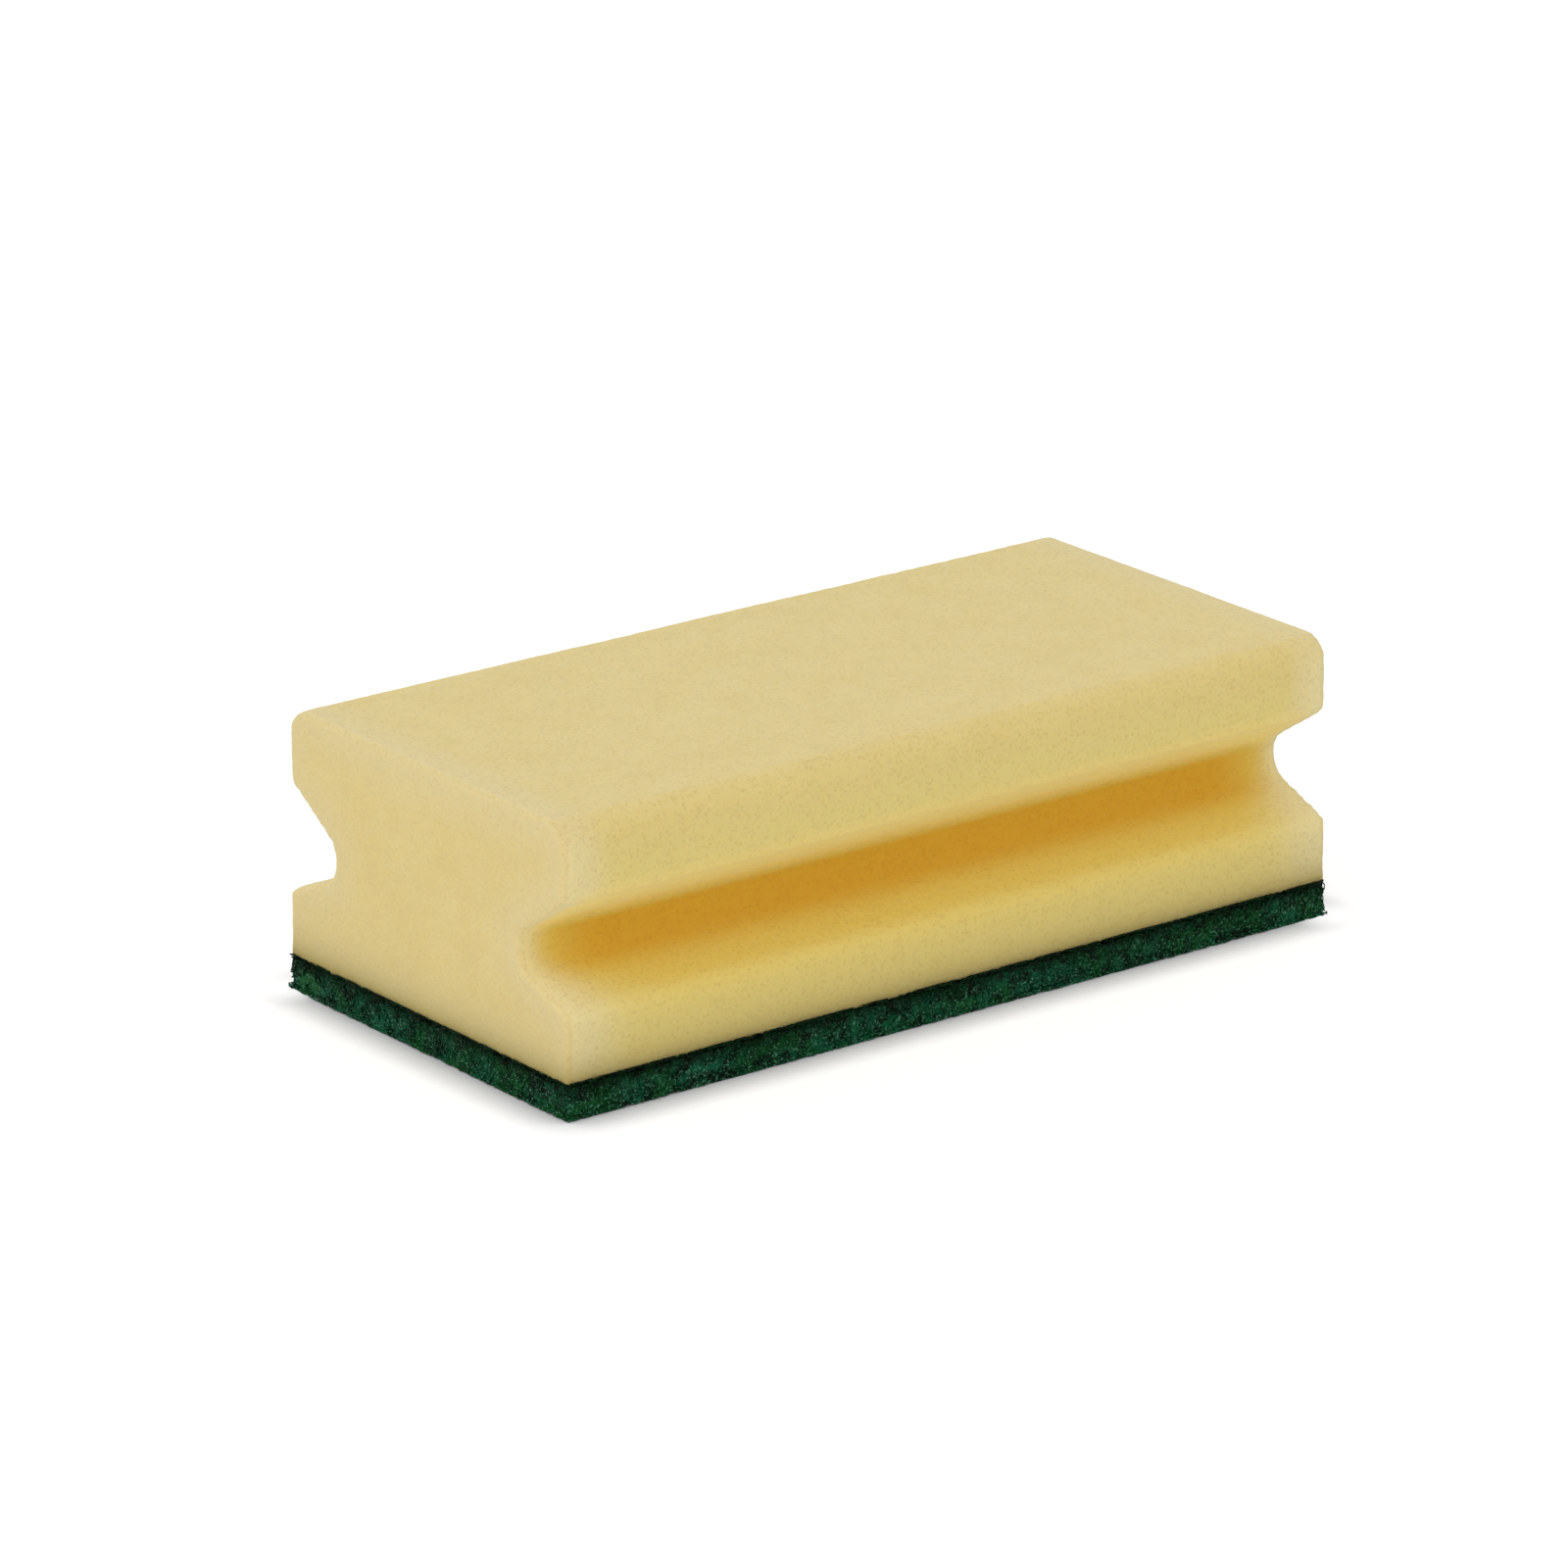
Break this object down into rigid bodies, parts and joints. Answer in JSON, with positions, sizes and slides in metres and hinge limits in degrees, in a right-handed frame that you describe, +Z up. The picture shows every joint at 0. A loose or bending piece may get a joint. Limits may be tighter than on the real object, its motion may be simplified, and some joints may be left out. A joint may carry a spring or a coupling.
{
  "type": "cleaning sponge",
  "caption": "Yellow foam cleaning sponge with a rounded finger groove along both long sides, bonded to a dark green scouring pad.",
  "frame": {"origin": "middle of the footprint on the scouring pad's lower face", "axes": "+X along the length, +Y across the width, +Z up from the scouring pad towards the foam's top"},
  "size_m": [0.148, 0.0726, 0.0456],
  "materials": {
    "foam": "fine open-cell polyurethane foam, cut faces, soft and matt",
    "scouring_fibre": "coarse nonwoven scouring fibre bound with dark green resin and grit, matt"
  },
  "bodies": {
    "root": {"foam_body": "foam", "scouring_pad": "scouring_fibre"}
  },
  "joints": []
}
